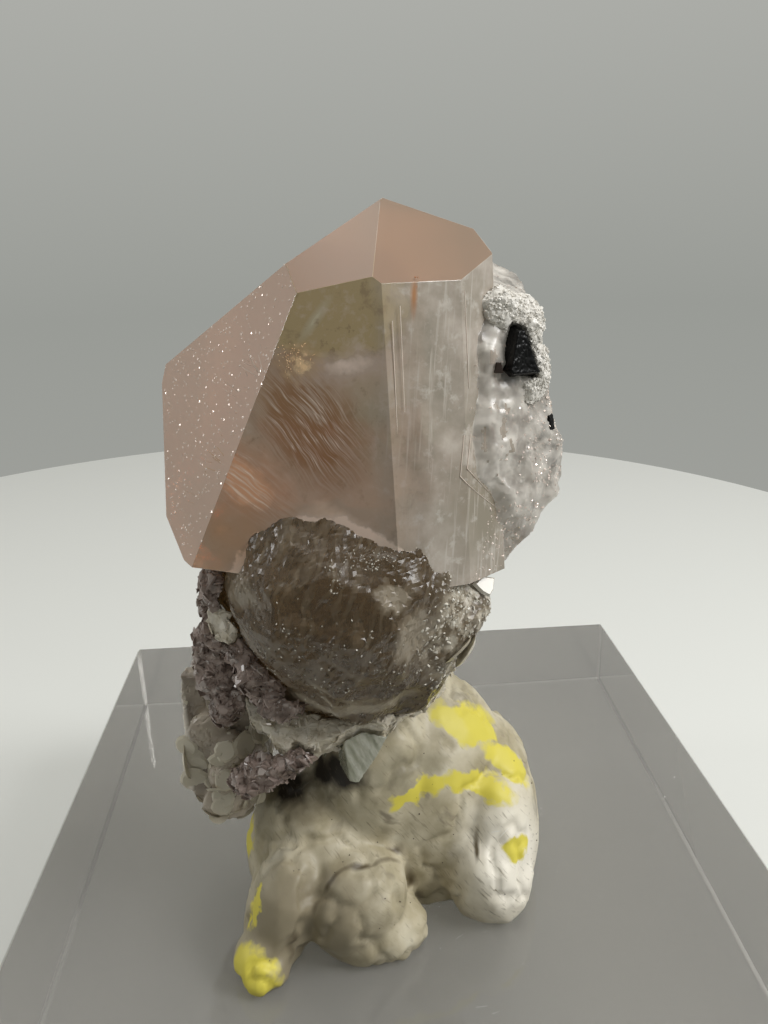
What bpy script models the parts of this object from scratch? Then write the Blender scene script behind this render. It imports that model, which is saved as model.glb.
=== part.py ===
"""A morganite crystal grown on smoky quartz, held by a lump of putty on a square clear block.

Metres, +Z up. The viewer stands at -Y, with +X to the right, and the origin is the middle of
the block's underside. Azimuth 0 looks out of the front and grows towards +X. A flat face is
given as azimuth and elevation in degrees and its distance from the middle in millimetres.
A lump is given as its middle and its three radii, all in millimetres, and its turn in degrees.
Roughness is the height and the size of its bumps in millimetres, and the seed of its noise.
"""

from math import cos, radians, sin

import bmesh
import bpy
from mathutils import Euler, Vector, noise

MM = 0.001

# Driving dimensions of the block, and the gap that touching pieces keep
BLOCK_SIDE = 76.2
BLOCK_THICK = 25.4
BLOCK_ARRIS = 0.35
GAP = 0.3
# A seat is cut with a copy of the neighbour that is larger by this much all round
SEAT_GROWTH = 0.36
# Subdivisions of the sphere that a large lump and a small lump start from
FINE = 3
COARSE = 2
# Every lump of a cluster takes the next seed
SEED_STEP = 2.7

# The morganite: a thick six-sided table that faces the viewer
MORGANITE_MIDDLE = (-1.0, -12.0, 72.0)
MORGANITE_FACES = {
    "etched left": (-59, 22, 15.2),
    "top left": (-25, 49, 18.5),
    "top right": (26, 44, 18.1),
    "front left": (-14, 7.5, 14.5),
    "front middle": (25, 8, 13.9),
    "front right": (45, 6.5, 13.3),
    "right corner": (80, 39, 17.6),
    "right": (88, 2, 10.0),
    "back right": (140, 0, 12.5),
    "back": (178, -4, 11.5),
    "back left": (-140, -6, 14.5),
    "back roof": (172, 40, 17.0),
    "upper right": (105, 71, 18.1),
    "upper left": (-100, 57.4, 15.3),
    "left": (-96, -11, 18.3),
    "left foot": (-95, -50, 15.6),
    "underside": (-90, -85, 9.0),
}
# Its rough etched right side
ETCHED_SIDE_MIDDLE = (6.0, -12.0, 72.5)
ETCHED_SIDE_RADII = (12.0, 11.5, 15.5)
ETCHED_SIDE_ROUGHNESS = (0.9, 3.2, 1.3)
ETCHED_SIDE_FACES = {
    "upper right": (84, 11, 8.5),
    "lower right": (80, -36, 10.4),
    "front": (38, 8, 10.0),
    "front right": (60, 4, 10.2),
    "top": (60, 62, 12.6),
    "foot": (0, -90, 11.0),
    "back": (150, 0, 9.5),
}

# The smoky quartz: a rounded broken body, a narrower end that runs up inside the morganite,
# and a crusty right half
QUARTZ_MIDDLE = (-4.3, -15.5, 60.0)
QUARTZ_RADII = (12.2, 15.1, 12.7)
QUARTZ_ROUGHNESS = (0.35, 5.0, 3.1)
QUARTZ_FACES = {
    "left": (-78, 12, 11.6),
    "lower left": (-62, -24, 11.2),
    "lower front": (-30, -38, 13.0),
    "lower right": (38, -28, 13.0),
    "right": (100, -10, 11.5),
    "back left": (-150, 0, 12.5),
    "underside": (0, -90, 12.3),
}
QUARTZ_TIP_MIDDLE = (-5.2, -14.5, 72.0)
QUARTZ_TIP_FACES = {
    "prism 1": (-30, 4, 5.6),
    "prism 2": (30, 4, 5.4),
    "prism 3": (90, 3, 5.6),
    "prism 4": (150, 3, 5.8),
    "prism 5": (-150, 3, 5.8),
    "prism 6": (-90, 3, 5.4),
    "end 1": (-25, 50, 12.2),
    "end 2": (60, 48, 11.6),
    "end 3": (150, 50, 10.6),
    "end 4": (-110, 52, 11.2),
    "foot": (0, -90, 12.0),
}
QUARTZ_CRUST_MIDDLE = (1.2, -17.0, 56.2)
QUARTZ_CRUST_RADII = (9.5, 9.8, 8.6)
QUARTZ_CRUST_ROUGHNESS = (1.1, 2.6, 7.7)
QUARTZ_CRUST_FACES = {
    "lower right": (70, -30, 5.6),
    "front": (35, -5, 9.0),
    "right": (85, 15, 7.2),
}

# How rough the clusters of small lumps are
CLUSTER_ROUGHNESS = (0.35, 1.1, 1.0)

# The white albite patch on the etched side, and the black crystals in it and below it
ALBITE_PATCH = (
    ((9.8, -18.9, 81.6), (2.8, 2.3, 2.8), 0),
    ((10.6, -18.9, 78.0), (2.6, 1.9, 3.3), 0),
    ((8.7, -19.8, 82.8), (1.9, 1.6, 1.9), 0),
)
BLACK_LARGE_MIDDLE = (9.9, -20.6, 79.5)
BLACK_LARGE_FACES = {
    "front": (30, 10, 1.2),
    "left": (-62, 20, 1.1),
    "right": (104, 22, 1.1),
    "top": (40, 72, 2.1),
    "foot": (20, -70, 1.7),
    "lower left": (-62, -48, 1.8),
    "back": (210, 0, 1.6),
}
BLACK_SMALL_MIDDLE = (13.2, -18.6, 73.4)
BLACK_LOWER_MIDDLE = (13.5, -18.8, 70.8)
BLACK_GRAIN_FACES = {
    "front": (45, 10, 0.5),
    "left": (-50, 15, 0.5),
    "right": (120, 5, 0.4),
    "top": (30, 62, 0.8),
    "foot": (30, -60, 0.7),
    "back": (225, 0, 1.0),
}

# The lilac lepidolite up the left side of the quartz
LEPIDOLITE_LUMPS = (
    ((-14.5, -22.4, 61.9), (1.8, 2.0, 2.1), 20),
    ((-15.5, -20.4, 60.0), (1.3, 1.9, 2.9), 4),
    ((-14.8, -21.4, 57.2), (1.7, 1.8, 2.3), -30),
    ((-12.9, -23.4, 56.0), (1.7, 1.6, 1.5), 35),
    ((-11.9, -24.0, 54.2), (2.3, 1.6, 1.9), 30),
    ((-10.3, -24.6, 52.2), (2.3, 1.3, 1.7), 40),
    ((-16.0, -20.0, 55.2), (1.7, 1.8, 2.3), 10),
    ((-15.9, -20.2, 52.2), (1.8, 1.8, 2.5), -15),
    ((-15.2, -21.0, 50.0), (1.5, 1.6, 1.9), 25),
    ((-14.8, -16.2, 52.0), (2.9, 3.6, 2.8), -35),
    ((-14.4, -12.2, 51.6), (2.4, 2.6, 2.4), 20),
)

# The pale translucent flake among them
FLAKE_MIDDLE = (-14.6, -23.4, 59.4)
FLAKE_FACES = (-32, 10)
FLAKE_THICK = 1.3
FLAKE_OUTLINE = (
    (-0.2, 2.3), (-1.2, 1.5), (-1.5, 0.2), (-1.2, -1.1), (-0.1, -2.2), (0.9, -2.1), (1.6, -0.5), (1.2, 1.0),
)

# The mica book at the lower left: its outline seen from the front, its plates, and the pale
# rounded flakes on its face
BOOK_MIDDLE = (-16.2, -18.4, 43.8)
BOOK_FACES = (-6, 4)
BOOK_OUTLINE = (
    (-3.5, 6.9), (-3.9, -4.4), (-2.4, -6.2), (-0.9, -7.9), (1.2, -7.6), (2.7, -5.6), (3.8, -1.0),
    (3.3, 4.2), (1.6, 5.6), (0.0, 5.4), (-1.6, 6.7),
)
BOOK_PLATES = 4
BOOK_PLATE_THICK = 2.1
BOOK_PLATE_LAP = 0.15
BOOK_PLATE_RAGGED = 0.07
BOOK_FLAKE_ROUGHNESS = (0.3, 1.2, 4.0)
BOOK_FLAKES = (
    ((-17.4, -18.9, 45.9), (2.0, 1.0, 1.9), 10),
    ((-15.6, -19.3, 44.1), (1.9, 1.2, 2.0), 40),
    ((-16.5, -19.2, 38.6), (2.3, 1.1, 1.8), -15),
    ((-16.2, -19.5, 41.2), (1.9, 1.1, 1.7), 60),
)

# The pale jagged ledge under the quartz
SHELF_MIDDLE = (-4.6, -23.0, 49.9)
SHELF_FACES = (-4, 50)
SHELF_THICK = 3.6
SHELF_OUTLINE = (
    (-8.6, 3.4), (-9.0, 0.8), (-8.3, -0.9), (-7.0, -1.3), (-6.3, -2.7), (-5.3, -3.3), (-4.3, -2.7),
    (-3.2, -3.2), (-1.6, -2.6), (-0.3, -2.0), (1.2, -1.3), (3.0, -1.5), (4.6, 0.0), (6.8, 0.8),
    (8.6, 3.0), (10.0, 5.9), (8.4, 8.0), (2.0, 8.8), (-5.0, 8.0),
)

# The small lilac lumps under the ledge
NODULES = (
    ((-13.6, -22.8, 43.2), (1.7, 1.6, 1.4), 0),
    ((-12.4, -23.6, 44.9), (1.3, 1.2, 1.4), 30),
    ((-11.8, -23.2, 43.9), (1.5, 1.4, 1.2), 10),
    ((-10.3, -23.8, 45.2), (1.5, 1.4, 1.2), -20),
    ((-9.0, -24.2, 46.6), (1.3, 1.3, 1.2), 15),
)

# The grey-green blades that run down into the putty
BLADE_MIDDLE = (-3.2, -23.8, 46.3)
BLADE_FACES = (14, 8)
BLADE_THICK = 3.4
BLADE_OUTLINE = ((-2.1, 3.4), (-1.7, -2.8), (-0.9, -3.1), (0.7, -1.3), (2.6, 1.4), (3.2, 3.0))
BLADE_SHARD_MIDDLE = (-6.6, -22.6, 46.5)
BLADE_SHARD_FACES = (-10, 6)
BLADE_SHARD_THICK = 1.3
BLADE_SHARD_OUTLINE = ((-1.1, 2.2), (-0.9, -0.9), (-0.3, -1.7), (0.6, -0.7), (3.4, -0.9), (3.4, 2.2))

# The putty: lobes that were pressed and folded together
PUTTY_LOBES = (
    ((2.6, -12.0, 33.0), (9.6, 10.2, 13.8), 0),
    ((-2.2, -15.4, 37.6), (6.6, 6.8, 10.6), 8),
    ((9.2, -12.2, 31.0), (5.6, 11.4, 9.8), 0),
    ((-7.4, -16.0, 30.0), (8.0, 9.4, 8.9), 0),
    ((-5.2, -23.6, 30.4), (5.8, 5.3, 4.7), -26),
    ((-11.6, -23.2, 29.4), (3.5, 5.6, 7.2), 16),
    ((-13.4, -27.0, 27.2), (2.7, 3.5, 2.8), 20),
    ((8.2, -20.2, 29.2), (4.6, 5.0, 5.6), -6),
    ((-3.4, -24.2, 27.4), (5.8, 4.2, 3.6), 8),
)
PUTTY_ROUGHNESS = (0.5, 4.0, 2.0)
PUTTY_LARGE_LOBE = 9.0

# Colour as linear red, green and blue, roughness, and how much the eye can't see through
BLACK_TOURMALINE = ((0.006, 0.006, 0.007), 0.12, 1.0)
ALBITE = ((0.62, 0.60, 0.55), 0.45, 1.0)
LEPIDOLITE = ((0.22, 0.14, 0.17), 0.4, 1.0)
CLEAR_ACRYLIC = ((0.85, 0.86, 0.85), 0.03, 0.35)
SMOKY_QUARTZ = ((0.09, 0.05, 0.02), 0.15, 1.0)
MORGANITE = ((0.62, 0.42, 0.34), 0.12, 0.6)
MICA = ((0.20, 0.17, 0.12), 0.3, 1.0)
FELDSPAR = ((0.30, 0.30, 0.24), 0.3, 1.0)
PUTTY = ((0.60, 0.57, 0.45), 0.6, 1.0)


def facing(azimuth, elevation):
    """The unit vector that points out at this azimuth and elevation, in degrees."""
    turn = radians(azimuth)
    lift = radians(elevation)
    return Vector((sin(turn) * cos(lift), -cos(turn) * cos(lift), sin(lift)))


def material(name, look):
    """A Principled material from its colour, roughness and alpha."""
    colour, roughness, alpha = look
    made = bpy.data.materials.new(name)
    made.use_nodes = True
    shader = made.node_tree.nodes["Principled BSDF"]
    shader.inputs["Base Color"].default_value = (*colour, 1.0)
    shader.inputs["Roughness"].default_value = roughness
    shader.inputs["Metallic"].default_value = 0.0
    shader.inputs["Alpha"].default_value = alpha
    return made


def new_object(name, bm, collection):
    """Turns a bmesh in millimetres into an object in metres with its faces pointing out."""
    bmesh.ops.scale(bm, vec=(MM, MM, MM), verts=bm.verts)
    bmesh.ops.recalc_face_normals(bm, faces=bm.faces)
    mesh = bpy.data.meshes.new(name)
    bm.to_mesh(mesh)
    bm.free()
    made = bpy.data.objects.new(name, mesh)
    collection.objects.link(made)
    return made


def cut_flat(bm, middle, faces, growth):
    """Cuts the solid back to each flat face, moved out by the growth."""
    for azimuth, elevation, distance in faces:
        normal = facing(azimuth, elevation)
        cut = bmesh.ops.bisect_plane(
            bm,
            geom=bm.verts[:] + bm.edges[:] + bm.faces[:],
            dist=1e-4,
            plane_co=Vector(middle) + normal * (distance + growth),
            plane_no=normal,
            clear_outer=True,
        )
        rim = [part for part in cut["geom_cut"] if isinstance(part, bmesh.types.BMEdge)]
        if rim:
            bmesh.ops.holes_fill(bm, edges=rim)


def crystal(middle, faces, growth, reach=60.0):
    """A solid bounded by flat faces: a large cube cut back to each of them."""
    bm = bmesh.new()
    bmesh.ops.create_cube(bm, size=reach)
    bmesh.ops.translate(bm, vec=middle, verts=bm.verts)
    cut_flat(bm, middle, faces.values(), growth)
    return bm


def lump(middle, radii, roughness, growth, turn=0.0, detail=COARSE, step=0):
    """A rounded lump: a sphere drawn out to its radii, leant by its turn and roughened."""
    height, size, seed = roughness
    seed += SEED_STEP * step
    shift = Vector((seed, seed * 1.7, -seed * 2.3))
    lean = Euler((0.0, radians(turn), 0.0)).to_matrix()
    bm = bmesh.new()
    bmesh.ops.create_icosphere(bm, subdivisions=detail, radius=1.0)
    for vert in bm.verts:
        out = vert.co.normalized()
        place = Vector(out[i] * radii[i] for i in range(3))
        place += out * (growth + height * noise.noise(place / size + shift))
        vert.co = lean @ place + Vector(middle)
    return bm


def lumps(table, roughness, growth):
    """One rounded lump for each line of a table."""
    return [
        lump(middle, radii, roughness, growth, turn, step=step)
        for step, (middle, radii, turn) in enumerate(table)
    ]


def grown_outline(outline, growth):
    """The outline with every edge moved out by the growth."""
    count = len(outline)
    corners = [Vector(corner) for corner in outline]
    area = sum(corners[i - 1].x * corners[i].y - corners[i].x * corners[i - 1].y for i in range(count))
    side = 1.0 if area > 0.0 else -1.0
    edges = [(corners[(i + 1) % count] - corners[i]).normalized() * side for i in range(count)]
    normals = [Vector((edge.y, -edge.x)) for edge in edges]
    grown = []
    for i in range(count):
        both = normals[i - 1] + normals[i]
        grown.append(corners[i] + both * growth / max(0.5, 1.0 + normals[i - 1].dot(normals[i])))
    return grown


def plate(middle, outline, thick, faces, growth):
    """A flat plate that faces azimuth and elevation, with its front face at the middle."""
    azimuth, elevation = faces
    normal = facing(azimuth, elevation)
    across = Vector((cos(radians(azimuth)), sin(radians(azimuth)), 0.0))
    up = normal.cross(across)
    front = Vector(middle) + normal * growth
    bm = bmesh.new()
    ring = [bm.verts.new(front + across * x + up * y) for x, y in grown_outline(outline, growth)]
    grown = bmesh.ops.extrude_face_region(bm, geom=[bm.faces.new(ring)])
    moved = [part for part in grown["geom"] if isinstance(part, bmesh.types.BMVert)]
    bmesh.ops.translate(bm, vec=-normal * (thick + 2.0 * growth), verts=moved)
    return bm


def solid(name, shapes, collection):
    """Shapes that overlap, joined in one solid."""
    first, *others = [
        new_object(f"{name}_shape_{count}", shape, collection) for count, shape in enumerate(shapes)
    ]
    first.name = name
    for other in others:
        union = first.modifiers.new("grown together", "BOOLEAN")
        union.operation = "UNION"
        union.solver = "EXACT"
        union.object = other
        bpy.context.view_layer.update()
        graph = bpy.context.evaluated_depsgraph_get()
        joined = bpy.data.meshes.new_from_object(first.evaluated_get(graph))
        first.modifiers.clear()
        first.data = joined
        bpy.data.objects.remove(other)
    return first


def seat_cutter(name, shapes, cutters):
    """The piece's shapes made larger, joined to cut its seat in the neighbours."""
    cutter = solid(name + "_seat", shapes(SEAT_GROWTH), cutters)
    cutter.hide_render = True
    cutter.display_type = "WIRE"
    return cutter


def piece(name, shapes, look, parts, seats=()):
    """One mineral as a node, with the seats of its neighbours cut out of it."""
    made = solid(name, shapes(0.0), parts)
    made.data.materials.append(look)
    for cutter in seats:
        cut = made.modifiers.new(cutter.name, "BOOLEAN")
        cut.operation = "DIFFERENCE"
        cut.solver = "EXACT"
        cut.object = cutter
    return made


def block_shape():
    """The display block at its real size."""
    bm = bmesh.new()
    bmesh.ops.create_cube(bm, size=1.0)
    bmesh.ops.scale(bm, vec=(BLOCK_SIDE, BLOCK_SIDE, BLOCK_THICK), verts=bm.verts)
    bmesh.ops.translate(bm, vec=(0, 0, BLOCK_THICK / 2), verts=bm.verts)
    return bm


def quartz_shapes(growth):
    """The rounded body, its narrower upper end and the crusty right half."""
    body = lump(QUARTZ_MIDDLE, QUARTZ_RADII, QUARTZ_ROUGHNESS, growth, detail=FINE)
    cut_flat(body, QUARTZ_MIDDLE, QUARTZ_FACES.values(), growth)
    tip = crystal(QUARTZ_TIP_MIDDLE, QUARTZ_TIP_FACES, growth)
    crust = lump(QUARTZ_CRUST_MIDDLE, QUARTZ_CRUST_RADII, QUARTZ_CRUST_ROUGHNESS, growth, detail=FINE)
    cut_flat(crust, QUARTZ_CRUST_MIDDLE, QUARTZ_CRUST_FACES.values(), growth)
    return [body, tip, crust]


def morganite_shapes(growth):
    """The flat-faced crystal and its rough etched right side."""
    side = lump(ETCHED_SIDE_MIDDLE, ETCHED_SIDE_RADII, ETCHED_SIDE_ROUGHNESS, growth, detail=FINE)
    cut_flat(side, ETCHED_SIDE_MIDDLE, ETCHED_SIDE_FACES.values(), growth)
    return [crystal(MORGANITE_MIDDLE, MORGANITE_FACES, growth), side]


def black_large_shapes(growth):
    """The black prism in the albite patch."""
    return [crystal(BLACK_LARGE_MIDDLE, BLACK_LARGE_FACES, growth)]


def black_small_shapes(growth):
    """The black grain below the patch."""
    return [crystal(BLACK_SMALL_MIDDLE, BLACK_GRAIN_FACES, growth)]


def black_lower_shapes(growth):
    """The lowest black grain."""
    return [crystal(BLACK_LOWER_MIDDLE, BLACK_GRAIN_FACES, growth)]


def patch_shapes(growth):
    """The grainy white lumps of the albite patch."""
    return lumps(ALBITE_PATCH, CLUSTER_ROUGHNESS, growth)


def shelf_shapes(growth):
    """The jagged ledge under the quartz."""
    return [plate(SHELF_MIDDLE, SHELF_OUTLINE, SHELF_THICK, SHELF_FACES, growth)]


def flake_shapes(growth):
    """The pale flake among the lepidolite."""
    return [plate(FLAKE_MIDDLE, FLAKE_OUTLINE, FLAKE_THICK, FLAKE_FACES, growth)]


def lepidolite_shapes(growth):
    """The lilac lumps up the left side."""
    return lumps(LEPIDOLITE_LUMPS, CLUSTER_ROUGHNESS, growth)


def book_shapes(growth):
    """Plates of mica in a stack, each a little different in outline, with flakes on the face."""
    normal = facing(*BOOK_FACES)
    shapes = []
    for count in range(BOOK_PLATES):
        middle = Vector(BOOK_MIDDLE) - normal * count * (BOOK_PLATE_THICK - BOOK_PLATE_LAP)
        ragged = []
        for x, y in BOOK_OUTLINE:
            step = 1.0 + BOOK_PLATE_RAGGED * noise.noise(Vector((x, y, 5.0 * count)))
            ragged.append((x * step, y * step))
        shapes.append(plate(middle, ragged, BOOK_PLATE_THICK, BOOK_FACES, growth))
    return shapes + lumps(BOOK_FLAKES, BOOK_FLAKE_ROUGHNESS, growth)


def nodule_shapes(growth):
    """The row of small lilac lumps under the ledge."""
    return lumps(NODULES, CLUSTER_ROUGHNESS, growth)


def blade_shapes(growth):
    """One broad blade and a thin shard beside it."""
    return [
        plate(BLADE_MIDDLE, BLADE_OUTLINE, BLADE_THICK, BLADE_FACES, growth),
        plate(BLADE_SHARD_MIDDLE, BLADE_SHARD_OUTLINE, BLADE_SHARD_THICK, BLADE_SHARD_FACES, growth),
    ]


def putty_shapes(growth):
    """Lobes of putty pressed together and flattened on the block."""
    shapes = []
    for step, (middle, radii, turn) in enumerate(PUTTY_LOBES):
        detail = FINE if max(radii) > PUTTY_LARGE_LOBE else COARSE
        shape = lump(middle, radii, PUTTY_ROUGHNESS, growth, turn, detail, step)
        cut_flat(shape, (0.0, 0.0, BLOCK_THICK + GAP), [(0, -90, 0.0)], growth)
        shapes.append(shape)
    return shapes


def build():
    """Clears the scene and makes every piece, each with the seats of those it touches."""
    for old in list(bpy.data.objects):
        bpy.data.objects.remove(old)
    parts = bpy.data.collections.new("morganite_specimen")
    cutters = bpy.data.collections.new("cutters")
    bpy.context.scene.collection.children.link(parts)
    bpy.context.scene.collection.children.link(cutters)

    block = new_object("display_block", block_shape(), parts)
    block.data.materials.append(material("clear_acrylic", CLEAR_ACRYLIC))
    arris = block.modifiers.new("arris", "BEVEL")
    arris.width = BLOCK_ARRIS * MM
    arris.segments = 1

    quartz_seat = seat_cutter("smoky_quartz_crystal", quartz_shapes, cutters)
    large_seat = seat_cutter("black_crystal_large", black_large_shapes, cutters)
    small_seat = seat_cutter("black_crystal_small", black_small_shapes, cutters)
    lower_seat = seat_cutter("black_crystal_lower", black_lower_shapes, cutters)
    patch_seat = seat_cutter("albite_patch", patch_shapes, cutters)
    stone_seat = seat_cutter("morganite_crystal", morganite_shapes, cutters)
    shelf_seat = seat_cutter("albite_shelf", shelf_shapes, cutters)
    flake_seat = seat_cutter("albite_flake", flake_shapes, cutters)
    lepidolite_seat = seat_cutter("lepidolite_cluster", lepidolite_shapes, cutters)
    book_seat = seat_cutter("mica_book", book_shapes, cutters)
    nodule_seat = seat_cutter("lepidolite_nodules", nodule_shapes, cutters)
    blade_seat = seat_cutter("feldspar_blades", blade_shapes, cutters)

    black = material("black_tourmaline", BLACK_TOURMALINE)
    albite = material("albite", ALBITE)
    lilac = material("lepidolite", LEPIDOLITE)
    piece("smoky_quartz_crystal", quartz_shapes, material("smoky_quartz", SMOKY_QUARTZ), parts)
    piece("black_crystal_large", black_large_shapes, black, parts)
    piece("black_crystal_small", black_small_shapes, black, parts)
    piece("black_crystal_lower", black_lower_shapes, black, parts)
    piece("albite_patch", patch_shapes, albite, parts, [large_seat])
    stone_seats = [quartz_seat, patch_seat, large_seat, small_seat, lower_seat]
    piece("morganite_crystal", morganite_shapes, material("morganite", MORGANITE), parts, stone_seats)
    piece("albite_shelf", shelf_shapes, albite, parts, [quartz_seat])
    piece("albite_flake", flake_shapes, albite, parts, [quartz_seat, stone_seat])
    lilac_seats = [quartz_seat, stone_seat, shelf_seat, flake_seat]
    piece("lepidolite_cluster", lepidolite_shapes, lilac, parts, lilac_seats)
    book_seats = [quartz_seat, shelf_seat, lepidolite_seat]
    piece("mica_book", book_shapes, material("mica", MICA), parts, book_seats)
    piece("lepidolite_nodules", nodule_shapes, lilac, parts, [shelf_seat, book_seat])
    blade_seats = [quartz_seat, shelf_seat, nodule_seat]
    piece("feldspar_blades", blade_shapes, material("feldspar", FELDSPAR), parts, blade_seats)
    putty_seats = [quartz_seat, shelf_seat, book_seat, nodule_seat, blade_seat]
    piece("mounting_putty", putty_shapes, material("putty", PUTTY), parts, putty_seats)


build()
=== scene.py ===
"""The looks of a morganite crystal on smoky quartz, held by putty on a clear display block.

Lengths in the sections are millimetres, and MM turns them to metres. The viewer stands at -Y.
"""

from math import cos, degrees, radians, sin

import bmesh
import bpy
from mathutils import Matrix, Vector, noise
from mathutils.bvhtree import BVHTree


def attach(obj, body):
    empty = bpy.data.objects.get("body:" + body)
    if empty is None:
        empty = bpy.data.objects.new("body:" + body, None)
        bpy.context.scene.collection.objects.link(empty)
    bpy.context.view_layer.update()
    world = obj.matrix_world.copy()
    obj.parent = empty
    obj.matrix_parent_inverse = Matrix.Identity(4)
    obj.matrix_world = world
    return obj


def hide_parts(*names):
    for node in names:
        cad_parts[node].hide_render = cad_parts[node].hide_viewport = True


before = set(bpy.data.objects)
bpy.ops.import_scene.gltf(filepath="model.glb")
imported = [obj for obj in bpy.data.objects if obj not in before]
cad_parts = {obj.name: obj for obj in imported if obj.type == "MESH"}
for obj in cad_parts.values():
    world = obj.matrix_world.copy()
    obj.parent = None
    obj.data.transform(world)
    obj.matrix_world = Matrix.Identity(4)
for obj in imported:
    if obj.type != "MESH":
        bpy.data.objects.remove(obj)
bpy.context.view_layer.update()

MM = 0.001

# The viewpoint and the studio
# The photo was taken from just above the specimen, under a wide soft light, with the block on a
# round white table in front of a grey backdrop. The table and the light are stage only.
CAMERA_PLACE = (-4.5, -87.3, 89.8)
CAMERA_RIGHT = (0.9975, -0.0645, -0.0280)
CAMERA_UP = (0.0474, 0.3219, 0.9456)
PHOTO_FOCAL_PX = 850.0
PHOTO_LONG_SIDE_PX = 1024.0
SENSOR = 36.0

photo_camera = bpy.data.cameras.new("photo_camera")
photo_camera.sensor_width = SENSOR
photo_camera.lens = PHOTO_FOCAL_PX / PHOTO_LONG_SIDE_PX * SENSOR
photo_camera.clip_start = 0.002
camera = bpy.data.objects.new("photo_camera", photo_camera)
bpy.context.scene.collection.objects.link(camera)
right = Vector(CAMERA_RIGHT).normalized()
up = (Vector(CAMERA_UP) - right * right.dot(Vector(CAMERA_UP))).normalized()
camera.matrix_world = Matrix.Translation(Vector(CAMERA_PLACE) * MM) @ Matrix(
    (right, up, right.cross(up))
).transposed().to_4x4()
bpy.context.scene.camera = camera
bpy.context.scene.view_settings.view_transform = "Standard"


def colour(code):
    """An sRGB hex value as linear red, green, blue and alpha."""
    parts = [int(code[i:i + 2], 16) / 255.0 for i in (1, 3, 5)]
    linear = [part / 12.92 if part <= 0.04045 else ((part + 0.055) / 1.055) ** 2.4 for part in parts]
    return (*linear, 1.0)


def add(tree, kind, inputs=None, stops=None, **settings):
    """Adds a node. Inputs are values, or the nodes and sockets to read; stops are a ramp's colours."""
    made = tree.nodes.new(kind)
    for key, value in settings.items():
        setattr(made, key, value)
    for key, value in (inputs or {}).items():
        if isinstance(value, bpy.types.Node):
            value = next(output for output in value.outputs if output.enabled)
        if isinstance(value, bpy.types.NodeSocket):
            tree.links.new(value, made.inputs[key])
        else:
            made.inputs[key].default_value = value
    if stops:
        elements = made.color_ramp.elements
        while len(elements) < len(stops):
            elements.new(0.5)
        for element, (place, code) in zip(elements, stops):
            element.position = place
            element.color = colour(code)
    return made


def new_material(name, **settings):
    """A Principled material with these values on the shader's own sockets."""
    made = bpy.data.materials.new(name)
    made.use_nodes = True
    shader = made.node_tree.nodes["Principled BSDF"]
    for key, value in settings.items():
        shader.inputs[key.replace("_", " ")].default_value = value
    return made, made.node_tree, shader


def plain(name, shade, roughness, **settings):
    """A material of one colour and one roughness."""
    return new_material(name, Base_Color=colour(shade), Roughness=roughness, **settings)[0]


def new_object(name, bm):
    """An object at the origin with the bmesh, which is in millimetres, as its mesh."""
    bmesh.ops.scale(bm, vec=(MM, MM, MM), verts=bm.verts)
    mesh = bpy.data.meshes.new(name)
    bm.to_mesh(mesh)
    bm.free()
    made = bpy.data.objects.new(name, mesh)
    bpy.context.scene.collection.objects.link(made)
    return made


# Painted table top, matt white; the eye sees a soft sheen and nothing else
TABLE_MIDDLE = (-24.3, 89.6)
TABLE_RADIUS = 185.0
TABLE_THICK = 20.0
TABLE_GAP = 0.02
table_bm = bmesh.new()
bmesh.ops.create_cone(
    table_bm, cap_ends=True, segments=256, radius1=TABLE_RADIUS, radius2=TABLE_RADIUS, depth=TABLE_THICK
)
bmesh.ops.translate(table_bm, vec=(*TABLE_MIDDLE, -TABLE_THICK / 2 - TABLE_GAP), verts=table_bm.verts)
table = new_object("table_top", table_bm)
table_paint = plain("matt_white_paint", "#d9dad6", 0.35)
table.data.materials.append(table_paint)


def remap(tree, value, low, high, to_low=0.0, to_high=1.0):
    """The value, carried over from one range to another and held inside it."""
    return add(tree, "ShaderNodeMapRange", {
        "Value": value, "From Min": low, "From Max": high, "To Min": to_low, "To Max": to_high,
    })


# The backdrop is the sky of the scene, darker behind the viewer and brighter overhead
sky = bpy.data.worlds.new("grey_backdrop")
bpy.context.scene.world = sky
sky.use_nodes = True
tree = sky.node_tree
direction = add(tree, "ShaderNodeTexCoord").outputs["Generated"]
parts = add(tree, "ShaderNodeSeparateXYZ", {"Vector": direction}).outputs
height = remap(tree, parts["Z"], -0.4, 1.0)
behind = remap(tree, parts["Y"], -0.9, 0.5, to_low=0.52)
sky_shade = add(tree, "ShaderNodeValToRGB", {"Fac": height}, stops=(
    (0.0, "#a0a19c"), (0.22, "#999b96"), (0.45, "#adaea9"), (1.0, "#dcdcd8"),
))
tree.links.new(sky_shade.outputs["Color"], tree.nodes["Background"].inputs["Color"])
tree.links.new(behind.outputs["Result"], tree.nodes["Background"].inputs["Strength"])


def soft_light(name, place, aim, size, power, shade="#ffffff"):
    """A square soft box at a place in millimetres, turned to its aim."""
    lamp = bpy.data.lights.new(name, "AREA")
    lamp.size = size * MM
    lamp.energy = power
    lamp.color = colour(shade)[:3]
    made = bpy.data.objects.new(name, lamp)
    made.location = Vector(place) * MM
    made.rotation_mode = "QUATERNION"
    made.rotation_quaternion = (Vector(aim) - Vector(place)).to_track_quat("-Z", "Y")
    bpy.context.scene.collection.objects.link(made)
    made.visible_camera = False


soft_light("ceiling_soft_box", (0, 60, 420), aim=(0, 0, 40), size=300, power=0.4, shade="#fffdf8")
soft_light("right_window", (288, -128, 300), aim=(0, 0, 50), size=190, power=1.2)
soft_light("left_fill", (-300, 20, 180), aim=(0, 0, 70), size=60, power=0.13)

# The display block
# One slab of cast acrylic, sawn square and flame polished, with sharp arrises. It is clear with a
# faint grey of its own, and its faces carry hairline scratches and a little dust and lint.
SCRATCH_WIDTH = 0.35
BLOCK_TOP = 25.4


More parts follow.
